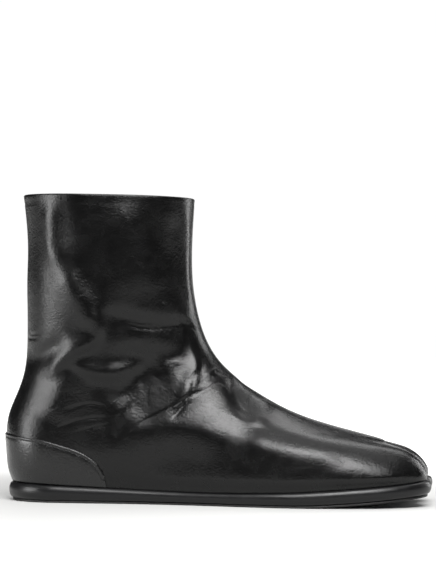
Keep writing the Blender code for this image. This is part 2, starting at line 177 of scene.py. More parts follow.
# The counter leather's relief: distance from its top edge, thickness over the upper
COUNTER_RELIEF = (
    (0.00 * MM, 0.10 * MM), (0.15 * MM, 0.48 * MM), (0.45 * MM, 0.78 * MM), (0.90 * MM, 0.90 * MM),
    (1.35 * MM, 0.84 * MM), (1.75 * MM, 0.64 * MM), (2.10 * MM, 0.56 * MM), (2.50 * MM, 0.66 * MM),
    (3.10 * MM, 0.80 * MM), (4.20 * MM, 0.86 * MM), (9.00 * MM, 0.84 * MM),
)
STITCH_LINE = 2.1 * MM
STITCH_SPACING = 2.5 * MM
STITCH_LENGTH = 1.8 * MM
STITCH_RADIUS = 0.22 * MM
STITCH_RISE = 0.56 * MM

# Mesh density of the fine surfaces: columns of each side's stretches, and rings from feather to collar
HEEL_COLUMNS = 32
SIDE_COLUMNS = 84
TOE_OUTER_COLUMNS = 28
TOE_INNER_COLUMNS = 10
SPLIT_COLUMNS = 14
TOE_COLUMNS = TOE_OUTER_COLUMNS + TOE_INNER_COLUMNS + SPLIT_COLUMNS
HALF_COLUMNS = HEEL_COLUMNS + SIDE_COLUMNS + TOE_COLUMNS
UPPER_RINGS = 230
LINING_STEP = 2

LATERAL = -1
MEDIAL = 1

# Broad folds of the leather. height is out of (+) or into (-) the surface, left and right are the widths
# to each side of the path, all in millimetres. The path's points are thousandths of SOLE_LENGTH from the
# boot's middle, and of COLLAR_HEIGHT.
PATH_SCALE = 1000
FOLD_COLUMNS = ("name", "height", "left", "right", "path")
OUTER_FOLDS = (
    ("quarter_hollow", -1.8, 8, 20, ((-244, 306), (-216, 352), (-189, 398), (-162, 437), (-130, 477))),
    ("low_side", 1.7, 15, 9, ((-215, 85), (-113, 81), (3, 83), (118, 84), (231, 80), (322, 75))),
    ("back_ridge", 1.3, 7, 7, ((-407, 1036), (-396, 967), (-398, 902), (-391, 831), (-376, 779),
     (-356, 727))),
    ("back_trough", -0.6, 13, 6, ((-364, 1057), (-362, 967), (-376, 905), (-376, 850), (-356, 798),
     (-330, 749), (-300, 692), (-267, 643))),
    ("shaft_plateau", 1.9, 13, 24, ((-270, 1031), (-227, 916), (-195, 819), (-172, 735), (-158, 658))),
    ("shaft_dark_hollow", -0.9, 12, 12, ((-187, 942), (-164, 872), (-141, 808), (-119, 743))),
    ("ankle_bulge", 2.4, 10, 10, ((-376, 785), (-356, 740), (-337, 701), (-320, 665), (-304, 630),
     (-290, 591), (-288, 543))),
    ("bulge_edge", 2.4, 4, 8, ((-309, 643), (-288, 601), (-279, 562), (-293, 530), (-328, 503), (-361, 476),
     (-383, 440), (-399, 387))),
    ("wedge_hollow", -2.2, 6, 10, ((-300, 624), (-258, 611), (-212, 596), (-162, 583), (-106, 581),
     (-56, 568))),
    ("heel_tendon_hollow", -1.4, 7, 7, ((-461, 456), (-415, 482), (-375, 505), (-342, 532))),
    ("front_ridge", 0.9, 6, 6, ((-88, 1012), (-86, 922), (-84, 844), (-85, 765), (-78, 680), (-62, 608))),
    ("front_hollow", -0.8, 7, 8, ((-112, 952), (-113, 868), (-111, 790), (-101, 711))),
    ("crescent", 1.45, 5.5, 5, ((-366, 476), (-332, 448), (-300, 429), (-267, 423), (-235, 433),
     (-198, 450), (-153, 476))),
    ("above_crescent", -0.5, 7, 7, ((-314, 487), (-267, 478), (-217, 488), (-171, 502))),
    ("below_crescent", -1.3, 8, 8, ((-314, 396), (-272, 377), (-230, 371), (-189, 391))),
    ("instep_hollow", -4.4, 12, 24, ((-254, 423), (-212, 449), (-166, 470), (-121, 477), (-71, 461),
     (-30, 435))),
    ("instep_edge", 1.8, 4, 15, ((-81, 535), (-65, 490), (-57, 438), (-65, 380), (-83, 334), (-108, 289))),
    ("instep_side_break", -1.2, 4, 4, ((-45, 483), (-46, 425), (-58, 367), (-83, 318), (-110, 263))),
    ("instep_roll", 3.6, 17, 19, ((-312, 96), (-266, 143), (-225, 179), (-179, 209), (-137, 230),
     (-91, 244), (-40, 242), (15, 227), (75, 207))),
    ("instep_trough", -1.6, 5, 5, ((23, 418), (33, 354), (53, 304), (79, 260))),
    ("vamp_ridge", 1.4, 6, 6, ((96, 346), (94, 300), (88, 248))),
    ("vamp_roll", 2.2, 11, 9, ((29, 215), (85, 204), (139, 189), (194, 178), (249, 163), (294, 144))),
    ("toe_round", 1.5, 15, 7, ((213, 106), (263, 90), (312, 81), (362, 78), (417, 63), (455, 84))),
    ("heel_side", 1.3, 10, 10, ((-347, 447), (-358, 388), (-376, 323), (-399, 258))),
)
# Sharp creases and small pleats, in the same columns
OUTER_CREASES = (
    ("ankle_line", -0.35, 1.4, 1.1, ((-231, 589), (-190, 576), (-144, 574), (-102, 578), (-63, 571))),
    ("quarter_crease", -0.6, 2.2, 1.6, ((-219, 345), (-214, 313), (-232, 277), (-239, 241), (-227, 205))),
    ("instep_crease", -0.9, 1.5, 1.1, ((-42, 464), (-57, 432), (-68, 399), (-76, 357), (-94, 312),
     (-114, 263))),
    ("instep_crease_twin", -0.3, 0.8, 0.8, ((-35, 451), (-52, 412), (-60, 380), (-76, 341), (-101, 289))),
    ("roll_top_line", -0.45, 1.2, 1, ((-220, 228), (-175, 271), (-119, 314), (-74, 351), (-22, 380),
     (16, 402))),
    ("roll_top_line_second", -0.25, 0.9, 0.9, ((-188, 248), (-142, 285), (-101, 312), (-55, 338))),
    ("front_pleat_a", 0.32, 0.9, 0.9, ((-101, 636), (-83, 614), (-68, 594), (-57, 571))),
    ("front_pleat_b", -0.27, 0.9, 0.9, ((-114, 626), (-87, 597), (-61, 571))),
    ("front_pleat_c", -0.27, 0.9, 0.9, ((-71, 654), (-68, 617), (-59, 575))),
    ("front_pleat_d", -0.23, 0.9, 0.9, ((-104, 600), (-80, 584), (-54, 565))),
    ("instep_wrinkle_a", -0.5, 1.2, 1.2, ((-19, 435), (-1, 428), (17, 415))),
    ("instep_wrinkle_b", -0.4, 1.2, 1.2, ((-47, 390), (-29, 406), (-12, 412))),
    ("instep_wrinkle_c", 0.4, 1.3, 1.3, ((-41, 419), (-23, 432), (-6, 444))),
    ("bulge_back_line_a", -0.35, 1, 1, ((-452, 549), (-434, 550), (-415, 554))),
    ("bulge_back_line_b", -0.35, 1, 1, ((-456, 536), (-434, 537), (-418, 540))),
    ("vamp_wrinkle_a", -0.35, 1.5, 1.5, ((43, 379), (51, 348), (66, 316))),
    ("vamp_wrinkle_b", -0.35, 1.5, 1.5, ((66, 360), (72, 329), (78, 297))),
    ("counter_fan_a", -0.35, 1.2, 1.2, ((-248, 260), (-295, 246), (-345, 226))),
    ("counter_fan_b", -0.35, 1.2, 1.2, ((-249, 280), (-295, 279), (-341, 265), (-382, 239))),
    ("counter_fan_c", -0.3, 1.2, 1.2, ((-253, 306), (-295, 325), (-332, 317), (-369, 291))),
)
# Patches of fine wrinkles that run across or along a path: strength from 0 to 1, the patch's half width
# and the spacing of its wrinkles in millimetres
CRINKLE_COLUMNS = ("name", "strength", "half_width", "spacing", "path")
OUTER_CRINKLES = (
    ("collar_pulls", 0.8, 11, 1.6, ((-237, 999), (-235, 967), (-230, 916))),
    ("collar_pulls_front", 0.25, 9, 1.6, ((-187, 997), (-178, 955), (-164, 911))),
    ("shaft_front_net", 0.25, 13, 1.8, ((-146, 905), (-128, 847), (-115, 783))),
    ("shaft_lower_net", 0.3, 12, 1.6, ((-286, 676), (-235, 663), (-185, 648), (-136, 639))),
    ("bulge_net", 0.7, 11, 1.5, ((-415, 622), (-375, 642), (-332, 669))),
    ("front_fan", 1, 7, 1.3, ((-127, 646), (-91, 607), (-58, 568))),
    ("wedge_lines", 0.5, 9, 1.5, ((-295, 468), (-249, 488), (-199, 502), (-153, 509))),
    ("quarter_net", 0.8, 15, 1.6, ((-374, 317), (-332, 343), (-290, 364), (-249, 377))),
    ("roll_lines", 0.8, 6, 1.2, ((-207, 222), (-161, 262), (-105, 302), (-55, 341), (-2, 380))),
    ("instep_top_net", 1, 8, 1.4, ((-48, 432), (-16, 419), (15, 405))),
    ("vamp_pulls", 0.8, 9, 1.6, ((50, 373), (63, 329), (83, 285))),
    ("vamp_roll_lines", 0.5, 9, 1.6, ((28, 266), (84, 235), (144, 217), (198, 203))),
    ("counter_pulls", 0.5, 12, 1.6, ((-443, 184), (-424, 133), (-405, 81))),
)
# The inner side's own, plainer set
INNER_FOLDS = (
    ("ankle_side_fold", 1.8, 9, 8, ((-400, 500), (-300, 440), (-180, 420), (-60, 450))),
    ("ankle_side_hollow", -2.2, 9, 9, ((-380, 570), (-280, 520), (-160, 500), (-50, 530))),
    ("tendon_hollow", -2.0, 8, 8, ((-450, 420), (-380, 380), (-300, 350))),
    ("shaft_fold", 1.5, 10, 12, ((-420, 900), (-400, 780), (-360, 660), (-280, 580))),
    ("shaft_hollow", -1.8, 12, 12, ((-200, 900), (-170, 780), (-140, 660))),
    ("instep_roll", 2.2, 7, 8, ((-160, 240), (-60, 290), (30, 340), (100, 360))),
    ("instep_hollow", -1.8, 6, 6, ((30, 420), (80, 350), (120, 290))),
    ("vamp_roll", 1.3, 8, 8, ((100, 250), (200, 220), (300, 190))),
)
INNER_CREASES = (
    ("ankle_line", -0.5, 1.5, 1.2, ((-300, 475), (-200, 462), (-80, 475))),
    ("instep_line", -0.7, 1.5, 1.2, ((20, 420), (-30, 360), (-90, 300), (-160, 260))),
    ("roll_line", -0.4, 1.2, 1.1, ((-120, 290), (-30, 350), (60, 400))),
)
INNER_CRINKLES = (
    ("ankle_net", 0.6, 12, 1.6, ((-360, 450), (-240, 420), (-120, 430))),
    ("instep_net", 0.7, 9, 1.5, ((-140, 270), (-40, 330), (60, 380))),
)

# How paths and their folds are worked out: a path's step, how many widths a fold reaches, and how nearly a
# vertex has to face the path's way (1 is the same way). A fold runs out over the taper's share of its path at
# each end, and a patch of wrinkles fades past its ends. Wrinkles are longer than they are apart by the
# stretch, and each patch reads its noise in a place of its own.
PATH_STEP = 1.0 * MM
REACH = 2.6
SAME_FACE = 0.2
FOLD_TAPER = 0.28
CREASE_TAPER = 0.25
CRINKLE_FADE = 0.25
WRINKLE_STRETCH = 7.0
PATCH_OFFSET = 9.0

# The folds leave the leather plain under the counter and along the feather line
FEATHER_CALM_RINGS = (0.25, 1.2)
COUNTER_CALM = 5.0 * MM

# The collar's turned edge: how far the leather goes down inside, and the groove of its fold outside
TURNED_IN = 7.0 * MM
RIM_STEPS = 8
HEM_DEPTH = 4.6 * MM
HEM_GROOVE = 0.22 * MM
HEM_GROOVE_WIDTH = 0.9 * MM

EDGE_STEP = 0.5 * MM
STITCH_RINGS = 6
STITCH_SIDES = 7
# The shares of its rise and of its radius that a stitch keeps at its ends
STITCH_END_RISE = 0.35
STITCH_END_RADIUS = 0.55
# The way down from the counter's edge is told by its fall or, where the edge is so steep that the fall is
# less than this, by its lean along the boot
STEEP_EDGE = 0.2
# Distances to the edge are worked out in this many parts, to save memory
DISTANCE_PARTS = 20
# The insole's edge starts at this share of its thickness and rises over the shoulder
INSOLE_LEVELS = 5
INSOLE_SHOULDER = 4.0 * MM
INSOLE_EDGE_SHARE = 0.55

# Finishes: refractive indices and roughness near typical ones. The waxed leather's index is a little under
# the usual 1.45, which keeps its blacks deep in so pale a room. The counter is polished harder.
LEATHER_IOR = 1.39
WAX_IOR = 1.40
COUNTER_IOR = 1.52
RUBBER_IOR = 1.52
THREAD_IOR = 1.54
UPPER_ROUGHNESS = 0.25
COUNTER_ROUGHNESS = 0.26
EDGE_ROUGHNESS = 0.34
LINING_ROUGHNESS = 0.55
THREAD_ROUGHNESS = 0.45
RUBBER_ROUGHNESS = 0.58
PAPER_ROUGHNESS = 0.9
PAPER_SPECULAR = 0.2
EDGE_COLOUR = "#0e0e0f"
RUBBER_COLOUR = "#131313"
THREAD_COLOUR = "#0d0d0e"
# Patches of more and less polish: how far they differ, and the stretch of the noise that they come from
ROUGHNESS_SPREAD = 0.05
POLISH_RANGE = (0.3, 0.7)
# The real sizes and depths of the patterns. Pores, fibres and twist are finer than the picture can show, so
# they are drawn about twice as coarse as real ones. Linings have less of the upper's grain.
CLOUD_SIZE = 22.0 * MM
RUB_SIZE = 9.0 * MM
BREAK_SIZE = 6.0 * MM
BREAK_RELIEF = 0.16 * MM
PORES_PER_GRAIN = 2.2
LINING_GRAIN = 0.6
INSOLE_GRAIN = 0.8
FIBRE_LENGTH = 18.0 * MM
FIBRE_WIDTH = 0.7 * MM
FIBRE_RELIEF = 0.05 * MM
RUBBER_SPECKLE = 0.8 * MM
RUBBER_RELIEF = 0.05 * MM
TWIST_SIZE = 0.4 * MM
TWIST_RELIEF = 0.05 * MM
PAPER_TOOTH = 1.5 * MM
PAPER_RELIEF = 0.1 * MM
PAPER_TOOTH_STRENGTH = 0.2

# The stage. A softbox's place and the point it is aimed at are in metres.
FLOOR_SIZE = 12.0
SOFTBOX_COLUMNS = ("name", "azimuth", "elevation", "distance", "width", "height", "brightness")
SOFTBOXES = (
    ("key_softbox", 14.0, 43.0, 1.30, 1.00, 0.58, 17.5),
    ("left_strip", -64.0, 8.0, 1.15, 0.42, 0.70, 10.5),
    ("right_strip", 128.0, 10.0, 1.15, 0.22, 0.85, 7.0),
    ("back_softbox", 165.0, 50.0, 2.00, 1.60, 0.70, 3.2),
)
SOFTBOX_AIM = (0.0, 0.0, 0.10)
# The room, one glow over another: where each comes from, the angles round that within which it is full and
# past which it is gone, and its tone. They are the dark room on the camera's side, the white wall behind the
# boot, and the ceiling.
ROOM_TONE = (0.05, 0.05, 0.051, 1.0)
GLOW_COLUMNS = ("azimuth", "elevation", "full", "gone", "tone")
GLOWS = (
    (20.0, 0.0, 45.0, 75.0, (0.01, 0.01, 0.0105, 1.0)),
    (183.0, 1.0, 10.5, 18.0, (1.02, 1.02, 1.02, 1.0)),
    (0.0, 90.0, 20.0, 40.0, (1.6, 1.6, 1.6, 1.0)),
)
# Painted shade: the paper's colour is darkened in front of the boot, below the picture, so that the leather
# mirrors little of it: the places along Y where that shade is full and where it starts, and the share of the
# colour that is left
FLOOR_FADE = (-0.58, -0.43)
FLOOR_SHADE = 0.02
# Painted light: away from the boot the paper glows by its own emission, which keeps it white up to the wall:
# the distances at which that glow starts and is full, its strength, and how much of a distance beside the
# boot counts
FLOOR_GLOW = (0.05, 0.55)
FLOOR_GLOW_STRENGTH = 1.75
FLOOR_GLOW_BESIDE = 0.5
CAMERA_SIDESTEP = -3.7 * MM
CAMERA_SHIFT = 0.0533


# Surfaces


def spline(knots, values):
    """A natural cubic spline through the values, which carries on straight past both ends."""
    x = np.asarray(knots, float)
    y = np.asarray(values, float)
    h = np.diff(x)
    count = len(x)
    matrix = np.eye(count)
    right = np.zeros(count)
    for i in range(1, count - 1):
        matrix[i, i - 1:i + 2] = h[i - 1], 2 * (h[i - 1] + h[i]), h[i]
        right[i] = 6 * ((y[i + 1] - y[i]) / h[i] - (y[i] - y[i - 1]) / h[i - 1])
    bend = np.linalg.solve(matrix, right)

    def at(place):
        place = np.asarray(place, float)
        inside = np.clip(place, x[0], x[-1])
        i = np.clip(np.searchsorted(x, inside, side="right") - 1, 0, count - 2)
        a = inside - x[i]
        b = x[i + 1] - inside
        step = h[i]
        value = (bend[i] * b**3 + bend[i + 1] * a**3) / (6 * step)
        value = value + (y[i] / step - bend[i] * step / 6) * b
        value = value + (y[i + 1] / step - bend[i + 1] * step / 6) * a
        slope_first = (y[1] - y[0]) / h[0] - h[0] * bend[1] / 6
        slope_last = (y[-1] - y[-2]) / h[-1] + h[-1] * bend[-2] / 6
        return value + slope_first * np.minimum(place - x[0], 0) + slope_last * np.maximum(place - x[-1], 0)

    return at


def ease(value):
    """Runs smoothly from 0 to 1 as the value does."""
    value = np.clip(value, 0.0, 1.0)
    return value * value * (3 - 2 * value)


def rising_from(low, share):
    """Runs evenly from low to 1 as the share runs from 0 to 1."""
    return low + (1 - low) * share


def quarter_turn(columns):
    """Even angles from 0 to a right angle, one more than the columns."""
    return np.linspace(0.0, math.pi / 2, columns + 1)


def unit(vectors):
    """The same directions, each one long."""
    return vectors / np.maximum(np.linalg.norm(vectors, axis=-1, keepdims=True), 1e-12)


def lengths_along(points):
    """How far each point of a path lies from its start."""
    return np.concatenate([[0.0], np.cumsum(np.linalg.norm(np.diff(points, axis=0), axis=1))])


def nearest(points, spot):
    """The number of the point that is nearest to a spot."""
    return np.argmin(((points - spot) ** 2).sum(axis=1))


SECTION_SPLINES = {
    name: spline(range(len(SECTIONS)), [row[i] for row in SECTIONS]) for i, name in enumerate(SECTION_COLUMNS)
}
LAST_RING = len(SECTIONS) - 1
SOLE_THICKNESS_AT = spline([row[0] for row in SOLE_PROFILE], [row[1] for row in SOLE_PROFILE])
SOLE_INSET_AT = spline([row[0] for row in SOLE_EDGE], [row[1] for row in SOLE_EDGE])
COUNTER_HEIGHT_AT = spline([row[0] for row in COUNTER_EDGE], [row[1] for row in COUNTER_EDGE])


def underside(x):
    """Height of the whole sole's underside: flat on the floor, then the toe spring."""
    start = SPRING_START * SOLE_LENGTH
    reach = np.maximum(x - start, 0.0) / (SOLE_LENGTH / 2 - start)
    return TOE_SPRING * reach**SPRING_POWER


def feather_height(x):
    """Height of the feather line, where the upper's lower rim stands."""
    return underside(x) + SOLE_THICKNESS * SOLE_THICKNESS_AT(x / SOLE_LENGTH) + SEAT_GAP


def section(ring):
    """The sizes of one ring in metres, between the rows of SECTIONS."""
    row = {name: float(curve(ring)) for name, curve in SECTION_SPLINES.items()}
    for name in ("back_x", "front_x", "split"):
        row[name] *= SOLE_LENGTH
    for name in ("back_z", "front_z"):
        row[name] *= COLLAR_HEIGHT
    for name in ("heel", "waist_lat", "waist_med", "ball_lat", "ball_med", "toe_lat", "toe_med"):
        row[name] *= BALL_WIDTH
    row["split"] = max(row["split"], 0.0)
    return row


def toe_split_share(ring):
    """1 where the toe is split, 0 from where the slot has run out on the vamp."""
    return 1.0 - float(ease((ring - SPLIT_FADE_START) / (SPLIT_FADE_END - SPLIT_FADE_START)))


def middle_line(x):
    """The line that the two sides are measured from: it drifts to the split's place at the toes."""
    return SPLIT_Y * ease((x / SOLE_LENGTH - DRIFT_START) / DRIFT_LENGTH)


def side_shares(columns):
    """Even places of a side stretch's columns, without its far end."""
    return np.linspace(0.0, 1.0, columns + 1)[:-1]


def slot_side(row, front_x, tip_off, grow):
    """A toe's inner side: round from its tip into the slot, then back along the slot's wall to its end."""
    slot_grow = min(grow, SPLIT_RIM)
    wall_y = SPLIT_GAP_FRONT / 2 - slot_grow
    end_y = SPLIT_GAP_END / 2 - slot_grow * SPLIT_RIM_END_SHARE
    end_x = row["front_x"] - row["split"] + slot_grow
    rounding = min(INNER_TOE_ROUNDING, INNER_ROUNDING_SHARE * max(front_x - end_x, 0.0))
    angle = quarter_turn(TOE_INNER_COLUMNS)[1:]
    inner_x = front_x - rounding * (1 - np.cos(angle))
    inner_width = wall_y + (tip_off - wall_y) * (1 - np.sin(angle))
    share = np.linspace(0.0, 1.0, SPLIT_COLUMNS + 1)[1:]
    slot_x = inner_x[-1] + (end_x - inner_x[-1]) * share
    slot_width = wall_y + (end_y - wall_y) * share
    slot_width[-1] = 0.0
    slot_x[-1] -= end_y
    return np.concatenate([inner_x, slot_x]), np.concatenate([inner_width, slot_width])


def ring_side(ring, side, grow=0.0, side_steps=None):
    """Points of one side of a ring, from the heel's back to the end of the toe's slot.

    grow moves the whole outline outwards, as the sole's does, or inwards. side_steps has the places of
    the columns between the heel's round and the toe's, as shares of that stretch.
    """
    if side_steps is None:
        side_steps = side_shares(SIDE_COLUMNS)
    row = section(ring)
    suffix = "_lat" if side == LATERAL else "_med"
    split_share = toe_split_share(ring)
    lag = LATERAL_TOE_LAG * split_share if side == LATERAL else 0.0
    back_x = row["back_x"] - grow
    front_x = row["front_x"] - lag + grow
    length = front_x - back_x
    width_at = spline(
        WIDTH_PLACES, [row["heel"], row["waist" + suffix], row["ball" + suffix], row["toe" + suffix]]
    )

    def half_width(share):
        return width_at(np.clip(share, *WIDTH_HOLDS)) + grow

    # Heel stretch: a quarter turn from the back's middle round to the side
    angle = quarter_turn(HEEL_COLUMNS)[:-1]
    heel_share = row["heel_round"] * (1 - np.cos(angle))
    heel_x = back_x + length * heel_share
    heel_width = half_width(heel_share) * np.sin(angle) ** HEEL_BLUNTNESS
    # Side stretch
    toe_start = 1.0 - row["toe_round" + suffix]
    side_share = row["heel_round"] + (toe_start - row["heel_round"]) * side_steps
    side_x = back_x + length * side_share
    side_width = half_width(side_share)
    # Toe stretch as one plain round, for the rings above the split
    angle = quarter_turn(TOE_COLUMNS)
    plain_share = toe_start + (1 - toe_start) * np.sin(angle)
    plain_x = back_x + length * plain_share
    plain_width = half_width(plain_share) * np.cos(angle) ** VAMP_BLUNTNESS
    # Toe stretch with the split: round the toe's tip, then back along the slot's wall to its end
    tip_off = TOE_TIP_OFF_LATERAL if side == LATERAL else TOE_TIP_OFF_MEDIAL
    angle = quarter_turn(TOE_OUTER_COLUMNS)
    outer_share = toe_start + (1 - toe_start) * np.sin(angle) ** TOE_BLUNTNESS
    outer_x = back_x + length * outer_share
    outer_width = tip_off + (half_width(outer_share) - tip_off) * np.cos(angle) ** TOE_BLUNTNESS
    slot_x, slot_width = slot_side(row, front_x, tip_off, grow)
    toe_x = split_share * np.concatenate([outer_x, slot_x]) + (1 - split_share) * plain_x
    toe_width = split_share * np.concatenate([outer_width, slot_width]) + (1 - split_share) * plain_width

    x = np.concatenate([heel_x, side_x, toe_x])
    width = np.concatenate([heel_width, side_width, toe_width])
    share = (x - back_x) / length
    # Widths are measured from y = 0 along the sides and from the middle line round the toe
    toe_places = np.linspace(0.0, 1.0, TOE_COLUMNS + 1)
    drift = np.concatenate([np.zeros(HEEL_COLUMNS + len(side_steps)), ease(toe_places * DRIFT_RATE)])
    y = side * width + middle_line(x) * drift
    feather_fade = 1.0 - float(ease(ring / FEATHER_FADE_END))
    low = section(0.0)
    level = row["back_z"] + (row["front_z"] - row["back_z"]) * share
    low_level = low["back_z"] + (low["front_z"] - low["back_z"]) * share
    z = level + (feather_height(x) - low_level) * feather_fade
    return np.column_stack([x, y, z])


def ring_loop(ring, grow=0.0):
    """A whole ring: back middle, lateral side, the slot's end, medial side."""
    lateral = ring_side(ring, LATERAL, grow)
    medial = ring_side(ring, MEDIAL, grow)
    lateral[-1, 0] = medial[-1, 0] = min(lateral[-1, 0], medial[-1, 0])
    return np.vstack([lateral, medial[1:-1][::-1]])


def outward(grid):
    """Unit vectors out of the surface, for a grid of rings by columns."""
    around = np.roll(grid, -1, axis=1) - np.roll(grid, 1, axis=1)
    return unit(np.cross(around, np.gradient(grid, axis=0)))


# Folds


def resampled(points, step):
    """The same path with a point at every step."""
    points = np.asarray(points, float)
    along = lengths_along(points)
    count = max(int(along[-1] / step), 2)
    even = np.linspace(0.0, along[-1], count + 1)
    if len(points) > 2:
        return np.column_stack([spline(along, points[:, i])(even) for i in range(3)])
    return np.column_stack([np.interp(even, along, points[:, i]) for i in range(3)])


def path_on_surface(path, side, surface, normals, reach):
    """A path given in the side view, laid on that side of the surface: points, tangents and normals."""
    facing = surface[:, 1] * side > 0
    half = surface[facing]
    targets = np.array(path) * (SOLE_LENGTH, COLLAR_HEIGHT) / PATH_SCALE
    points = resampled([half[nearest(half[:, [0, 2]], target)] for target in targets], PATH_STEP)
    below = [nearest(half, point) for point in points]
    points = (points + half[below]) / 2
    # A wide fold needs a smoother path than a narrow one, or its sides show the path's small turns
    for _ in range(int(reach / PATH_STEP)):
        points[1:-1] = (points[:-2] + 2 * points[1:-1] + points[2:]) / 4
    return points, unit(np.gradient(points, axis=0)), normals[facing][below]


def measured_from(path, side, surface, normals, reach):
    """Each near vertex's number, place along the path (metres), distance across it and path share."""
    points, tangents, facings = path_on_surface(path, side, surface, normals, reach)
    low = points.min(axis=0) - reach
    high = points.max(axis=0) + reach
    near = np.nonzero(((surface > low) & (surface < high)).all(axis=1))[0]
    if len(near) == 0:
        raise RuntimeError("a fold's path lies nowhere near the surface")
    gaps = surface[near][:, None, :] - points[None, :, :]
    closest = np.argmin((gaps**2).sum(axis=2), axis=1)
    offset = gaps[np.arange(len(near)), closest]
    across = np.cross(tangents, facings)[closest]
    sideways = (offset * across).sum(axis=1)
    ahead = (offset * tangents[closest]).sum(axis=1)
    within = np.clip(ahead, -PATH_STEP / 2, PATH_STEP / 2)
    distance = np.sqrt(np.maximum((offset**2).sum(axis=1) - within**2, 0.0))
    signed = np.where(sideways < 0, -distance, distance)
    same_face = (normals[near] * facings[closest]).sum(axis=1) > SAME_FACE
    share = (closest + np.clip(ahead / PATH_STEP, -0.5, 0.5)) / (len(points) - 1)
    place = closest * PATH_STEP + np.clip(ahead, -PATH_STEP, PATH_STEP)
    return near[same_face], place[same_face], signed[same_face], share[same_face]


def folded(surface, normals, rows, side, taper):
    """Heights of a table of folds over a surface's vertices."""
    height = np.zeros(len(surface))
    for row in rows:
        fold = dict(zip(FOLD_COLUMNS, row))
        left = fold["left"] * MM
        right = fold["right"] * MM
        reach = REACH * max(left, right)
        near, _, sideways, share = measured_from(fold["path"], side, surface, normals, reach)
        width = np.where(sideways < 0, left, right)
        ends = ease(share / taper) * ease((1 - share) / taper)
        height[near] += fold["height"] * MM * np.exp(-((sideways / width) ** 2)) * ends
    return height


def crinkled(surface, normals, rows, side):
    """Fine wrinkles' strength, and coordinates that count their spacing across and along each path."""
    strength = np.zeros(len(surface))
    flow = np.zeros((len(surface), 3))
    for number, row in enumerate(rows):
        patch = dict(zip(CRINKLE_COLUMNS, row))
        width = patch["half_width"] * MM
        spacing = patch["spacing"] * MM
        near, place, sideways, share = measured_from(patch["path"], side, surface, normals, REACH * width)
        ends = ease((share + CRINKLE_FADE) / CRINKLE_FADE) * ease((1 + CRINKLE_FADE - share) / CRINKLE_FADE)
        value = patch["strength"] * np.exp(-((sideways / width) ** 2)) * ends
        wins = value > strength[near]
        chosen = near[wins]
        strength[chosen] = value[wins]
        flow[chosen, 0] = sideways[wins] / spacing
        flow[chosen, 1] = place[wins] / (spacing * WRINKLE_STRETCH)
        flow[chosen, 2] = number * PATCH_OFFSET
    return strength, flow


def counter_top(points):
    """How far each point stands above the counter's top edge, in metres; below it the value is negative."""
    station = points[..., 0] / SOLE_LENGTH
    last = COUNTER_EDGE[-1][0]
    over = points[..., 2] - COUNTER_HEIGHT_AT(np.minimum(station, last)) * COLLAR_HEIGHT
    return np.where(station > last, np.maximum((station - last) * SOLE_LENGTH, over), over)


def upper_shape():
    """The upper's folded outer grid, its plain normals, and the wrinkles' strength and coordinates."""
    rings = np.linspace(0.0, LAST_RING, UPPER_RINGS)
    grid = np.array([ring_loop(ring) for ring in rings])
    facing = outward(grid)
    surface = grid.reshape(-1, 3)
    normals = facing.reshape(-1, 3)
    height = folded(surface, normals, OUTER_FOLDS, LATERAL, FOLD_TAPER)
    height += folded(surface, normals, INNER_FOLDS, MEDIAL, FOLD_TAPER)
    height += folded(surface, normals, OUTER_CREASES, LATERAL, CREASE_TAPER)
    height += folded(surface, normals, INNER_CREASES, MEDIAL, CREASE_TAPER)
    strength, flow = crinkled(surface, normals, OUTER_CRINKLES, LATERAL)
    inner_strength, inner_flow = crinkled(surface, normals, INNER_CRINKLES, MEDIAL)
    medial = inner_strength > strength
    strength = np.where(medial, inner_strength, strength)
    flow = np.where(medial[:, None], inner_flow, flow)
    low, high = FEATHER_CALM_RINGS
    calm = ease((np.repeat(rings, grid.shape[1]) - low) / (high - low))
    calm = calm * ease(counter_top(surface) / COUNTER_CALM)
    hem = surface[:, 2] - (COLLAR_HEIGHT * SECTIONS[-1][1] - HEM_DEPTH)
    groove = HEM_GROOVE * np.exp(-((hem / HEM_GROOVE_WIDTH) ** 2))
    moved = surface + normals * (height * calm - groove)[:, None]
    return moved.reshape(grid.shape), facing, strength * calm, flow


# Meshes


def add_object(name, data):
    """An object in the scene that shows this mesh, light or camera."""
    item = bpy.data.objects.new(name, data)
    bpy.context.scene.collection.objects.link(item)
    return item


def add_piece(name, verts, faces, material, slot, node=None):
    """One shown piece: it rides on the boot's body, and stands for its CAD node if it has one."""
    mesh = bpy.data.meshes.new(name)
    mesh.from_pydata([tuple(map(float, v)) for v in verts], [], [tuple(map(int, f)) for f in faces])
    mesh.update()
    mesh.shade_smooth()
    mesh.materials.append(material)
    piece = add_object(name, mesh)
    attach(piece, "root")
    if node:
        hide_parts(node)
    return piece


def loop_band(first, second, count):
    """Quads between two closed loops of count points that start at these numbers."""
    return [(first + i, first + (i + 1) % count, second + (i + 1) % count, second + i) for i in range(count)]


def loops_mesh(loops):
    """Vertices and quads of closed loops of equal length, one after another."""
    count = len(loops[0])
    faces = []
    for i in range(len(loops) - 1):
        faces += loop_band(i * count, (i + 1) * count, count)
    return np.vstack(loops), faces


def cap(first, count):
    """Faces that fill one outline: across the foot up to the split, then each toe for itself."""
    half = HALF_COLUMNS
    lateral = [first + i for i in range(half + 1)]
    medial = [first] + [first + count - i for i in range(1, half)] + [first + half]
    start = HEEL_COLUMNS + SIDE_COLUMNS
    faces = [(lateral[0], lateral[1], medial[1])]
    for i in range(1, start):
        faces.append((lateral[i], lateral[i + 1], medial[i + 1], medial[i]))
    end = lateral[half]
    faces.append((lateral[start], end, medial[start]))
    for edge in (lateral, medial):
        low, high = start, half
        while high - low > 2:
            faces.append((edge[low], edge[low + 1], edge[high - 1], edge[high]))
            low += 1
            high -= 1
        faces.append((edge[low], edge[low + 1], edge[high]))
    return faces


def outline_at(grow, height):
    """The feather outline moved by grow, at a height worked out from each point's station."""
    loop = ring_loop(0.0, grow)
    loop[:, 2] = height(loop[:, 0])
    return loop


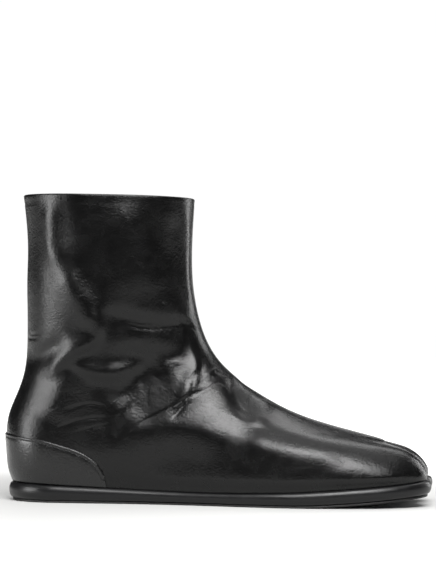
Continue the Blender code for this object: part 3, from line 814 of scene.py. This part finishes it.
def slab(levels):
    """Vertices and faces of a sole layer: outlines one above the other, filled below and above."""
    verts, sides = loops_mesh(levels)
    count = len(levels[0])
    lower = [tuple(reversed(face)) for face in cap(0, count)]
    return verts, lower + sides + cap((len(levels) - 1) * count, count)


def thin_sheet(near, far):
    """Vertices and faces of a closed sheet between two grids of the same columns and rows."""
    columns, rows = near.shape[:2]
    other = columns * rows
    number = np.arange(other).reshape(columns, rows)
    corners = [number[:-1, :-1], number[1:, :-1], number[1:, 1:], number[:-1, 1:]]
    quads = np.stack(corners, axis=-1).reshape(-1, 4)
    border = np.concatenate([number[:-1, 0], number[-1, :-1], number[:0:-1, -1], number[0, :0:-1]])
    after = np.roll(border, -1)
    rim = np.column_stack([border, after, after + other, border + other])
    return np.vstack([near.reshape(-1, 3), far.reshape(-1, 3)]), np.vstack([quads, quads + other, rim])


def add_closed_piece(name, mesh, material, slot, node=None):
    """A shown piece whose faces are all turned outwards; mesh holds its vertices and faces."""
    piece = add_piece(name, *mesh, material, slot, node)
    work = bmesh.new()
    work.from_mesh(piece.data)
    bmesh.ops.recalc_face_normals(work, faces=work.faces[:])
    work.to_mesh(piece.data)
    work.free()


def set_attribute(mesh, name, kind, values):
    """Stores one value for each vertex, for the material to read."""
    attribute = mesh.attributes.new(name, kind, "POINT")
    field = "value" if kind == "FLOAT" else "vector"
    attribute.data.foreach_set(field, np.asarray(values, np.float32).ravel())


def collar_rim(outer, inner):
    """Loops round the collar's edge, from the outer surface over a half circle to the inner one."""
    middle = (outer + inner) / 2
    half = (outer - inner) / 2
    radius = np.linalg.norm(half, axis=1, keepdims=True)
    up = np.array([0.0, 0.0, 1.0])
    loops = []
    for step in range(1, RIM_STEPS):
        angle = math.pi * step / RIM_STEPS
        loops.append(middle + half * math.cos(angle) + up * radius * math.sin(angle))
    return loops


# Materials


def linear(hex_colour):
    """The linear colour of an sRGB hex value such as #1a1a1c, with full alpha."""
    parts = [int(hex_colour[i:i + 2], 16) / 255 for i in (1, 3, 5)]
    return (*[v / 12.92 if v <= 0.04045 else ((v + 0.055) / 1.055) ** 2.4 for v in parts], 1.0)


def add_node(tree, kind, sockets=None, **settings):
    """Adds a node with its settings; sockets holds values, or other nodes' outputs to link."""
    made = tree.nodes.new(kind)
    for name, value in settings.items():
        setattr(made, name, value)
    for key, value in (sockets or {}).items():
        if isinstance(value, bpy.types.NodeSocket):
            tree.links.new(value, made.inputs[key])
        else:
            made.inputs[key].default_value = value
    return made


def new_material(name, sockets):
    """A material with one Principled shader, set to these values: it, its tree, its shader and its place."""
    material = bpy.data.materials.new(name)
    material.use_nodes = True
    tree = material.node_tree
    shader = tree.nodes["Principled BSDF"]
    for key, value in sockets.items():
        shader.inputs[key].default_value = value
    return material, tree, shader, add_node(tree, "ShaderNodeTexCoord").outputs["Object"]


def noise(tree, place, size, detail, **sockets):
    """Noise with features of about this size."""
    sockets.update({"Vector": place, "Scale": 1 / size, "Detail": detail})
    return add_node(tree, "ShaderNodeTexNoise", sockets).outputs["Fac"]


def calculated(tree, operation, *values):
    """The result of one calculation with values or other nodes' outputs."""
    return add_node(tree, "ShaderNodeMath", dict(enumerate(values)), operation=operation).outputs[0]


def smooth_range(tree, value, start, end, low=0.0, high=1.0):
    """Runs smoothly from low to high as the value runs from start to end."""
    return add_node(tree, "ShaderNodeMapRange", {
        "Value": value, "From Min": start, "From Max": end, "To Min": low, "To Max": high,
    }, interpolation_type="SMOOTHSTEP").outputs["Result"]


def bumped(tree, height, depth, under=None, strength=1.0):
    """The facing of a relief this deep, laid over the one under it."""
    sockets = {"Height": height, "Strength": strength, "Distance": depth}
    if under is not None:
        sockets["Normal"] = under
    return add_node(tree, "ShaderNodeBump", sockets).outputs["Normal"]


def rub(tree, shader, place, roughness, detail):
    """Gives a finish patches of more and less polish."""
    low, high = POLISH_RANGE
    polish = add_node(tree, "ShaderNodeMapRange", {
        "Value": noise(tree, place, RUB_SIZE, detail), "From Min": low, "From Max": high,
        "To Min": roughness - ROUGHNESS_SPREAD, "To Max": roughness + ROUGHNESS_SPREAD,
    })
    tree.links.new(polish.outputs["Result"], shader.inputs["Roughness"])


def leather_finish(name, settings, roughness, ior=LEATHER_IOR, grain=1.0, wrinkles=False):
    """Black calf, dyed through, waxed and brushed: a soft deep gloss, broken by its grain and wrinkles."""
    material, tree, shader, place = new_material(name, {"Metallic": 0.0, "IOR": ior})
    tone = add_node(tree, "ShaderNodeMix", {
        0: noise(tree, place, CLOUD_SIZE, 4.0), 6: settings.dark, 7: settings.light,
    }, data_type="RGBA")
    tree.links.new(tone.outputs[2], shader.inputs["Base Color"])
    rub(tree, shader, place, roughness, 6.0)
    facing = None
    if wrinkles:
        flow = add_node(tree, "ShaderNodeAttribute", attribute_name="flow").outputs["Vector"]
        strength = add_node(tree, "ShaderNodeAttribute", attribute_name="crinkle").outputs["Fac"]
        lines = noise(tree, flow, 1.0, 2.5, Roughness=0.6, Distortion=0.6)
        pleat = calculated(tree, "ABSOLUTE", calculated(tree, "SUBTRACT", lines, 0.5))
        facing = bumped(tree, calculated(tree, "MULTIPLY", pleat, strength), settings.wrinkle_depth)
    # The hide's soft unevenness between the folds, then its grain
    facing = bumped(tree, noise(tree, place, BREAK_SIZE, 3.0), BREAK_RELIEF, facing)
    pebbles = add_node(tree, "ShaderNodeTexVoronoi", {
        "Vector": place, "Scale": 1 / settings.grain_size,
    }, feature="SMOOTH_F1").outputs["Distance"]
    pores = noise(tree, place, settings.grain_size / PORES_PER_GRAIN, 3.0, Roughness=0.7)
    texture = calculated(tree, "MULTIPLY_ADD", pebbles, -1.0, pores)
    facing = bumped(tree, texture, settings.grain_depth * grain, facing)
    tree.links.new(facing, shader.inputs["Normal"])
    return material


def waxed_edge_finish():
    """Sole leather edge, stained black, waxed and burnished: a clear gloss, faint lines along its layers."""
    material, tree, shader, place = new_material("sole_leather_edge_waxed", {
        "Metallic": 0.0, "IOR": WAX_IOR, "Base Color": linear(EDGE_COLOUR),
    })
    rub(tree, shader, place, EDGE_ROUGHNESS, 5.0)
    drawn = add_node(tree, "ShaderNodeMapping", {
        "Vector": place, "Scale": (1 / FIBRE_LENGTH, 1 / FIBRE_LENGTH, 1 / FIBRE_WIDTH),
    }).outputs["Vector"]
    tree.links.new(bumped(tree, noise(tree, drawn, 1.0, 3.0), FIBRE_RELIEF), shader.inputs["Normal"])
    return material


def even_finish(name, colour, ior, roughness, size, depth, detail):
    """One colour and one polish all over, with a fine relief of this size and depth."""
    material, tree, shader, place = new_material(name, {
        "Metallic": 0.0, "IOR": ior, "Roughness": roughness, "Base Color": linear(colour),
    })
    tree.links.new(bumped(tree, noise(tree, place, size, detail), depth), shader.inputs["Normal"])
    return material


def rubber_finish():
    """Thin sheet rubber, calendered and cut: matt, with a very fine even texture."""
    return even_finish("sheet_rubber_cut", RUBBER_COLOUR, RUBBER_IOR, RUBBER_ROUGHNESS, RUBBER_SPECKLE,
                       RUBBER_RELIEF, 4.0)


def thread_finish():
    """Waxed polyester thread, twisted: dark, with a slight shine on each turn of the twist."""
    return even_finish("polyester_thread_waxed", THREAD_COLOUR, THREAD_IOR, THREAD_ROUGHNESS, TWIST_SIZE,
                       TWIST_RELIEF, 1.0)


def paper_finish(colour):
    """Seamless studio paper: pale and matt, with a faint tooth; its colour is darkened in front by painted
    shade, and behind and beside the boot it glows by its own emission, a painted light.
    """
    material, tree, shader, place = new_material("seamless_paper_matt", {
        "Metallic": 0.0, "Roughness": PAPER_ROUGHNESS, "Specular IOR Level": PAPER_SPECULAR,
        "Emission Color": colour,
    })
    spot = add_node(tree, "ShaderNodeSeparateXYZ", {"Vector": place})
    # Painted shade: the paper's colour fades to FLOOR_SHADE of itself in front of the boot
    light = smooth_range(tree, spot.outputs["Y"], *FLOOR_FADE, low=FLOOR_SHADE)
    tone = add_node(tree, "ShaderNodeVectorMath", {0: tuple(colour)[:3], "Scale": light}, operation="SCALE")
    tree.links.new(tone.outputs["Vector"], shader.inputs["Base Color"])
    outwards = add_node(tree, "ShaderNodeCombineXYZ", {
        "X": calculated(tree, "MULTIPLY", spot.outputs["X"], FLOOR_GLOW_BESIDE),
        "Y": calculated(tree, "MAXIMUM", spot.outputs["Y"], 0.0),
    }).outputs["Vector"]
    distance = add_node(tree, "ShaderNodeVectorMath", {0: outwards}, operation="LENGTH").outputs["Value"]
    # Painted light: the paper's emission grows away from the boot, and is shaded in front as its colour is
    glow = smooth_range(tree, distance, *FLOOR_GLOW, high=FLOOR_GLOW_STRENGTH)
    tree.links.new(calculated(tree, "MULTIPLY", glow, light), shader.inputs["Emission Strength"])
    tooth = bumped(tree, noise(tree, place, PAPER_TOOTH, 2.0), PAPER_RELIEF, strength=PAPER_TOOTH_STRENGTH)
    tree.links.new(tooth, shader.inputs["Normal"])
    return material


# Settings


class BootLeatherSettings(bpy.types.PropertyGroup):
    """The upper leather's colours and relief."""

    dark: bpy.props.FloatVectorProperty(
        name="Dark tone", description="The dye where it took most", subtype="COLOR", size=4,
        min=0.0, max=1.0, default=linear("#050505"),
    )
    light: bpy.props.FloatVectorProperty(
        name="Light tone", description="The dye where it took least", subtype="COLOR", size=4,
        min=0.0, max=1.0, default=linear("#090909"),
    )
    grain_size: bpy.props.FloatProperty(
        name="Grain size", description="Width of one pebble of the grain, drawn a little coarser than real",
        unit="LENGTH", default=1.3 * MM, min=0.2 * MM, max=5 * MM,
    )
    grain_depth: bpy.props.FloatProperty(
        name="Grain depth", description="Relief of the grain", unit="LENGTH",
        default=0.09 * MM, min=0.0, max=MM,
    )
    wrinkle_depth: bpy.props.FloatProperty(
        name="Wrinkle depth", description="Relief of the finest wrinkles", unit="LENGTH",
        default=0.25 * MM, min=0.0, max=5 * MM,
    )


class BootStageSettings(bpy.types.PropertyGroup):
    """The floor, lights and camera."""

    floor_colour: bpy.props.FloatVectorProperty(
        name="Floor colour", description="Colour of the paper under the boot", subtype="COLOR", size=4,
        min=0.0, max=1.0, default=linear("#bcbcbb"),
    )
    distance: bpy.props.FloatProperty(
        name="Camera distance", description="From the camera to the boot's middle plane", unit="LENGTH",
        default=1.400, min=0.5, max=5.0,
    )
    height: bpy.props.FloatProperty(
        name="Camera height", description="Height of the camera over the floor", unit="LENGTH",
        default=0.122, min=0.01, max=2.0,
    )
    yaw: bpy.props.FloatProperty(
        name="Camera yaw", description="How far the camera stands round towards the toes", unit="ROTATION",
        default=math.radians(3.0), min=-math.pi, max=math.pi,
    )
    roll: bpy.props.FloatProperty(
        name="Camera roll", description="The photograph's own tilt", unit="ROTATION",
        default=math.radians(0.55), min=-1.0, max=1.0,
    )
    lens: bpy.props.FloatProperty(
        name="Focal length", description="In millimetres, for a sensor 36 mm high",
        default=127.3, min=20.0, max=400.0,
    )


# Pieces


class BOOT_OT_upper(bpy.types.Operator):
    """Makes the folded leather upper and the lining inside it"""

    bl_idname = "boot.upper"
    bl_label = "Upper and Lining"

    def execute(self, context):
        settings = context.scene.boot_leather
        outer, facing, strength, flow = upper_shape()
        inner = outer - WALL * facing
        inner[0, :, 2] = outer[0, :, 2]
        inner[-1, :, 2] = outer[-1, :, 2]
        rim = collar_rim(outer[-1], inner[-1])
        # The outer leather is turned in over the collar, down to the first ring that is near enough to it
        depth = (inner[-1, :, 2] - inner[:, :, 2]).min(axis=1)
        turned = int(np.argmax(depth < TURNED_IN))
        verts, faces = loops_mesh([*outer, *rim, *inner[:turned - 1:-1]])
        leather = leather_finish("calf_leather_waxed", settings, UPPER_ROUGHNESS, wrinkles=True)
        upper = add_piece("folded_upper", verts, faces, leather, "upper_leather", node="upper")
        spare = len(verts) - len(strength)
        set_attribute(upper.data, "crinkle", "FLOAT", np.concatenate([strength, np.zeros(spare)]))
        set_attribute(upper.data, "flow", "FLOAT_VECTOR", np.vstack([flow, np.zeros((spare, 3))]))
        lining_grid = inner[: turned + 2: LINING_STEP, ::LINING_STEP]
        verts, faces = loops_mesh([outer[0][::LINING_STEP], *lining_grid])
        lining = leather_finish("lining_leather_plain", settings, LINING_ROUGHNESS, grain=LINING_GRAIN)
        add_piece("upper_lining", verts, [tuple(reversed(face)) for face in faces], lining, "upper_leather",
                  node="upper")
        return {"FINISHED"}


def counter_side(side):
    """One side's counter grid: columns from the back's middle to the front end, rows from foot to edge."""
    steps = COUNTER_REACH * (1.0 - np.linspace(1.0, 0.0, COUNTER_COLUMNS) ** COUNTER_CROWDING)
    steps = np.append(steps, COUNTER_REACH + COUNTER_SPARE_STEP)
    rings = np.linspace(0.0, COUNTER_SEARCH_END, COUNTER_SEARCH_RINGS)
    count = HEEL_COLUMNS + COUNTER_COLUMNS
    sheet = np.array([ring_side(ring, side, side_steps=steps)[: count + 1] for ring in rings])
    around = np.gradient(sheet, axis=1)
    around[:, 0] = (0.0, side, 0.0)
    facing = unit(np.cross(np.gradient(sheet, axis=0), around) * side)
    above = counter_top(sheet)
    shares = 1.0 - np.linspace(1.0, 0.0, COUNTER_ROWS + 1) ** COUNTER_ROW_CROWDING
    points = np.zeros((count, COUNTER_ROWS + 1, 3))
    normals = np.zeros_like(points)
    for column in range(count):
        over = np.nonzero(above[:, column] > 0)[0]
        last = max(over[0] if len(over) else len(rings) - 1, 1)
        drop = above[last, column] - above[last - 1, column]
        top = last - np.clip(above[last, column] / drop, 0.0, 1.0) if drop > 0 else float(last)
        where = shares * top
        for axis in range(3):
            points[column, :, axis] = np.interp(where, np.arange(len(rings)), sheet[:, column, axis])
            normals[column, :, axis] = np.interp(where, np.arange(len(rings)), facing[:, column, axis])
    return points, unit(normals)


def counter_base():
    """The whole counter's grid over the upper, from its medial end round the back to its lateral one."""
    lateral, lateral_normals = counter_side(LATERAL)
    medial, medial_normals = counter_side(MEDIAL)
    points = np.concatenate([medial[:0:-1], lateral])
    normals = np.concatenate([medial_normals[:0:-1], lateral_normals])
    return points, normals


def stitch_line(edge, flat, facings):
    """The stitches' line, in the groove under the counter's top edge: each point, then its facing."""
    line = []
    for point, tangent in zip(edge, unit(np.gradient(edge, axis=0))):
        down = np.cross(tangent, facings[nearest(flat, point)])
        lean = down[2] if abs(down[2]) > STEEP_EDGE else down[0]
        spot = point - down * np.sign(lean) * STITCH_LINE
        below = nearest(flat, spot)
        facing = facings[below]
        spot = spot - facing * np.dot(spot - flat[below], facing)
        line.append(np.concatenate([spot, facing]))
    return np.array(line)


def stitches_mesh(line):
    """Vertices and faces of the stitches along the line: short arched rods with thin ends."""
    along = lengths_along(line[:, :3])
    count = int((along[-1] - 2 * STITCH_SPACING) / STITCH_SPACING)
    verts = []
    faces = []
    for number in range(1, count + 1):
        first = len(verts)
        spine = []
        for share in np.linspace(0.0, 1.0, STITCH_RINGS):
            place = STITCH_SPACING * number + STITCH_LENGTH * share
            here = np.array([np.interp(place, along, column) for column in line.T])
            facing = unit(here[3:])
            arch = math.sqrt(math.sin(math.pi * share))
            rise = COUNTER_LIFT + STITCH_RISE * rising_from(STITCH_END_RISE, arch)
            radius = STITCH_RADIUS * rising_from(STITCH_END_RADIUS, arch)
            spine.append((here[:3] + facing * rise, facing, radius))
        direction = unit(spine[-1][0] - spine[0][0])
        for centre, facing, radius in spine:
            beside = np.cross(direction, facing)
            for turn in range(STITCH_SIDES):
                angle = 2 * math.pi * turn / STITCH_SIDES
                verts.append(centre + radius * (beside * math.cos(angle) + facing * math.sin(angle)))
        last = first + (STITCH_RINGS - 1) * STITCH_SIDES
        for ring in range(first, last, STITCH_SIDES):
            faces += loop_band(ring, ring + STITCH_SIDES, STITCH_SIDES)
        faces.append([first + i for i in reversed(range(STITCH_SIDES))])
        faces.append([last + i for i in range(STITCH_SIDES)])
    return verts, faces


class BOOT_OT_counter(bpy.types.Operator):
    """Makes the stitched heel counter with its raised folded edge, and its row of stitches"""

    bl_idname = "boot.counter"
    bl_label = "Heel Counter"

    def execute(self, context):
        base, normals = counter_base()
        flat = base.reshape(-1, 3)
        edge = resampled(base[:, -1], EDGE_STEP)
        distance = np.concatenate([
            np.sqrt(((part[:, None] - edge[None]) ** 2).sum(axis=2)).min(axis=1)
            for part in np.array_split(flat, DISTANCE_PARTS)
        ])
        relief = np.interp(distance, *zip(*COUNTER_RELIEF)).reshape(base.shape[:2])
        near = base + normals * COUNTER_LIFT
        far = base + normals * (COUNTER_LIFT + relief)[..., None]
        near[:, 0, 2] = far[:, 0, 2] = base[:, 0, 2]
        leather = leather_finish("counter_leather_waxed", context.scene.boot_leather, COUNTER_ROUGHNESS,
                                 ior=COUNTER_IOR)
        add_closed_piece("counter_leather", thin_sheet(near, far), leather, "upper_leather", "heel_counter")
        line = stitch_line(edge, flat, normals.reshape(-1, 3))
        add_closed_piece("counter_stitches", stitches_mesh(line), thread_finish(), "upper_leather")
        return {"FINISHED"}


class BOOT_OT_soles(bpy.types.Operator):
    """Makes the main sole with its rounded waxed edge, the thin outsole and the insole"""

    bl_idname = "boot.soles"
    bl_label = "Soles and Insole"

    def execute(self, context):
        def level(share):
            def height(x):
                low = underside(x) + OUTSOLE_THICKNESS + SEAT_GAP
                return low + (feather_height(x) - SEAT_GAP - low) * share

            return outline_at(SOLE_RIM - float(SOLE_INSET_AT(share)), height)

        levels = [level(share) for share in (1 - np.cos(np.linspace(0, math.pi, SOLE_EDGE_LEVELS))) / 2]
        add_closed_piece("waxed_sole", slab(levels), waxed_edge_finish(), "sole_leather", "main_sole")
        rim = SOLE_RIM - OUTSOLE_INSET
        corner = OUTSOLE_ROUNDING * OUTSOLE_CORNER_SHARE
        levels = [
            outline_at(rim - OUTSOLE_ROUNDING, underside),
            outline_at(rim - corner, lambda x: underside(x) + corner),
            outline_at(rim, lambda x: underside(x) + OUTSOLE_ROUNDING),
            outline_at(rim, lambda x: underside(x) + OUTSOLE_THICKNESS),
        ]
        add_closed_piece("rubber_outsole", slab(levels), rubber_finish(), "rubber", "outsole")
        levels = [outline_at(-INSOLE_INSET, feather_height)]
        for share in np.linspace(0.0, 1.0, INSOLE_LEVELS):
            rise = INSOLE_THICKNESS * rising_from(INSOLE_EDGE_SHARE, math.sin(share * math.pi / 2))
            inset = INSOLE_INSET + INSOLE_SHOULDER * share
            levels.append(outline_at(-inset, lambda x, rise=rise: feather_height(x) + rise))
        cover = leather_finish("insole_leather_plain", context.scene.boot_leather, LINING_ROUGHNESS,
                               grain=INSOLE_GRAIN)
        add_closed_piece("insole_cover", slab(levels), cover, "insole_leather", "insole")
        return {"FINISHED"}


def towards(azimuth, elevation):
    """The direction of a light: its azimuth, from the camera's side round to the toes, and elevation."""
    turn = math.radians(azimuth)
    rise = math.radians(elevation)
    return Vector((math.sin(turn) * math.cos(rise), -math.cos(turn) * math.cos(rise), math.sin(rise)))


class BOOT_OT_stage(bpy.types.Operator):
    """Makes the pale floor, the soft studio lights and the camera"""

    bl_idname = "boot.stage"
    bl_label = "Stage"

    def execute(self, context):
        settings = context.scene.boot_stage
        half = FLOOR_SIZE / 2
        mesh = bpy.data.meshes.new("floor")
        mesh.from_pydata([(-half, -half, 0), (half, -half, 0), (half, half, 0), (-half, half, 0)], [],
                         [(0, 1, 2, 3)])
        mesh.materials.append(paper_finish(settings.floor_colour))
        floor = add_object("floor", mesh)
        for row in SOFTBOXES:
            self.softbox(**dict(zip(SOFTBOX_COLUMNS, row)))
        self.surround(context)
        self.camera(context, settings)
        context.scene.view_settings.view_transform = "Standard"
        return {"FINISHED"}

    def softbox(self, name, azimuth, elevation, distance, width, height, brightness):
        """An area light, aimed at the boot, whose face has the same brightness whatever its size."""
        light = bpy.data.lights.new(name, "AREA")
        light.shape = "RECTANGLE"
        light.size = width
        light.size_y = height
        light.energy = brightness * math.pi * width * height
        lamp = add_object(name, light)
        away = towards(azimuth, elevation)
        lamp.location = Vector(SOFTBOX_AIM) + away * distance
        lamp.rotation_euler = (-away).to_track_quat("-Z", "Y").to_euler()

    def surround(self, context):
        """The room: white behind the boot, pale above it, dark on the camera's side."""
        world = bpy.data.worlds.new("room")
        context.scene.world = world
        world.use_nodes = True
        tree = world.node_tree
        direction = add_node(tree, "ShaderNodeTexCoord").outputs["Generated"]
        colour = add_node(tree, "ShaderNodeRGB")
        colour.outputs[0].default_value = ROOM_TONE
        below = colour.outputs[0]
        for row in GLOWS:
            glow = dict(zip(GLOW_COLUMNS, row))
            ahead = add_node(tree, "ShaderNodeVectorMath", {
                0: direction, 1: towards(glow["azimuth"], glow["elevation"]),
            }, operation="DOT_PRODUCT").outputs["Value"]
            gone, full = (math.cos(math.radians(glow[end])) for end in ("gone", "full"))
            share = smooth_range(tree, ahead, gone, full)
            below = add_node(tree, "ShaderNodeMix", {0: share, 6: below, 7: glow["tone"]},
                             data_type="RGBA", clamp_result=False).outputs[2]
        tree.links.new(below, tree.nodes["Background"].inputs["Color"])

    def camera(self, context, settings):
        """Stands the camera where the photograph was taken from."""
        camera = bpy.data.cameras.new("camera")
        camera.sensor_width = 36.0
        camera.lens = settings.lens
        camera.shift_y = CAMERA_SHIFT
        view = add_object("camera", camera)
        turn = Matrix.Rotation(settings.yaw, 4, "Z")
        place = turn @ Vector((CAMERA_SIDESTEP, -settings.distance, 0.0))
        place.z = settings.height
        level = Matrix.Rotation(math.radians(90.0), 4, "X")
        view.matrix_world = Matrix.Translation(place) @ turn @ level @ Matrix.Rotation(settings.roll, 4, "Z")
        context.scene.camera = view


class BOOT_PT_panel(bpy.types.Panel):
    """Lists the boot's settings and pieces in the sidebar"""

    bl_label = "Split-Toe Boot"
    bl_idname = "BOOT_PT_panel"
    bl_space_type = "VIEW_3D"
    bl_region_type = "UI"
    bl_category = "Boot"

    def draw(self, context):
        layout = self.layout
        for settings in (context.scene.boot_leather, context.scene.boot_stage):
            box = layout.box()
            for name in settings.__annotations__:
                box.prop(settings, name)
        for operator in OPERATORS:
            layout.operator(operator.bl_idname)


OPERATORS = (BOOT_OT_upper, BOOT_OT_counter, BOOT_OT_soles, BOOT_OT_stage)
CLASSES = (BootLeatherSettings, BootStageSettings, *OPERATORS, BOOT_PT_panel)


def register():
    for item in CLASSES:
        bpy.utils.register_class(item)
    bpy.types.Scene.boot_leather = bpy.props.PointerProperty(type=BootLeatherSettings)
    bpy.types.Scene.boot_stage = bpy.props.PointerProperty(type=BootStageSettings)


def unregister():
    del bpy.types.Scene.boot_stage
    del bpy.types.Scene.boot_leather
    for item in reversed(CLASSES):
        bpy.utils.unregister_class(item)


def main():
    """Registers the classes, and makes every piece and the stage."""
    register()
    bpy.ops.boot.upper()
    bpy.ops.boot.counter()
    bpy.ops.boot.soles()
    bpy.ops.boot.stage()


if __name__ == "__main__":
    main()
